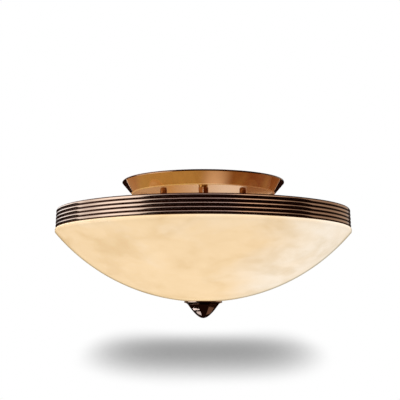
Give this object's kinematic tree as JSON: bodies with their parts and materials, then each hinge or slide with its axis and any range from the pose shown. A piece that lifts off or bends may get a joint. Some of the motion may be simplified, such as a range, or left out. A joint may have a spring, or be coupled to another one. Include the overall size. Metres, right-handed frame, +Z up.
{
  "type": "ceiling light",
  "caption": "Semi-flush ceiling light: flared metal pan, lamp cluster on a threaded stem, and a shallow alabaster-glass bowl with a reeded rim band, held up by a turned finial.",
  "frame": {"origin": "centre of the mounting strap's top face, on the ceiling plane and the stem's axis", "axes": "+Z up into the ceiling, +X along the mounting strap, -Y towards the viewer of the picture"},
  "size_m": [0.457, 0.457, 0.2118],
  "materials": {
    "bronze": "polished dark bronze plating under clear lacquer",
    "brass": "bright turned brass",
    "zinc_steel": "bright zinc plating",
    "green_screw": "green dyed zinc, marks the earth screw",
    "black_nylon": "moulded nylon",
    "rubber": "soft black rubber",
    "alabaster_glass": "satin, cloudy cream glass with soft veins",
    "porcelain": "white glazed porcelain",
    "frosted_glass": "inside-frosted bulb glass, shown lit",
    "aluminium": "drawn aluminium",
    "black_glass": "black base insulator",
    "solder": "tin solder tip"
  },
  "bodies": {
    "fixture": {"ceiling_pan": "bronze", "holder_cap_1": "bronze", "holder_cap_2": "bronze", "holder_cap_3": "bronze", "cluster_hub": "bronze", "stem_sleeve": "brass", "mounting_strap": "zinc_steel", "mounting_studs": "zinc_steel", "stud_nuts": "zinc_steel", "cap_nuts": "bronze", "ground_screw": "green_screw", "wire_bushing": "black_nylon", "stem": "zinc_steel", "stem_top_nut": "zinc_steel", "stem_upper_washer": "zinc_steel", "stem_lower_washer": "bronze", "stem_coupling": "bronze", "cluster_nut": "brass", "bowl_stop_nut": "brass", "bowl_stop_washer": "zinc_steel", "lamp_arm_1": "brass", "lamp_arm_2": "brass", "lamp_arm_3": "brass", "holder_body_1": "porcelain", "holder_body_2": "porcelain", "holder_body_3": "porcelain", "holder_shell_1": "brass", "holder_shell_2": "brass", "holder_shell_3": "brass", "holder_contact_1": "brass", "holder_contact_2": "brass", "holder_contact_3": "brass"},
    "bowl": {"bowl": "alabaster_glass", "rim_band": "bronze", "rim_gasket": "rubber", "bowl_pad": "rubber"},
    "finial_seat": {"finial_washer": "rubber"},
    "finial": {"finial": "bronze"},
    "bulb_1": {"bulb_glass_1": "frosted_glass", "bulb_base_1": "aluminium", "bulb_insulator_1": "black_glass", "bulb_contact_1": "solder"},
    "bulb_2": {"bulb_glass_2": "frosted_glass", "bulb_base_2": "aluminium", "bulb_insulator_2": "black_glass", "bulb_contact_2": "solder"},
    "bulb_3": {"bulb_glass_3": "frosted_glass", "bulb_base_3": "aluminium", "bulb_insulator_3": "black_glass", "bulb_contact_3": "solder"}
  },
  "joints": [
    {"name": "bowl_drop", "type": "slide", "parent": "fixture", "child": "bowl", "axis": [0, 0, -1], "range_m": [0, 0.13]},
    {"name": "finial_travel", "type": "slide", "parent": "bowl", "child": "finial_seat", "axis": [0, 0, -1], "range_m": [0, 0.0081]},
    {"name": "finial_spin", "type": "hinge", "parent": "finial_seat", "child": "finial", "pos_m": [0, 0, -0.195], "axis": [0, 0, -1], "range_deg": [0, 2880]},
    {"name": "bulb_1_turn", "type": "hinge", "parent": "fixture", "child": "bulb_1", "pos_m": [0, 0, -0.0607], "axis": [0, 0.9848, -0.1736], "range_deg": [0, 1080]},
    {"name": "bulb_2_turn", "type": "hinge", "parent": "fixture", "child": "bulb_2", "pos_m": [0, 0, -0.0607], "axis": [-0.8529, -0.4924, -0.1736], "range_deg": [0, 1080]},
    {"name": "bulb_3_turn", "type": "hinge", "parent": "fixture", "child": "bulb_3", "pos_m": [0, 0, -0.0607], "axis": [0.8529, -0.4924, -0.1736], "range_deg": [0, 1080]}
  ],
  "couplings": [
    {"joint": "finial_travel", "follows": "finial_spin", "m_per_rad": 0.00015915}
  ]
}
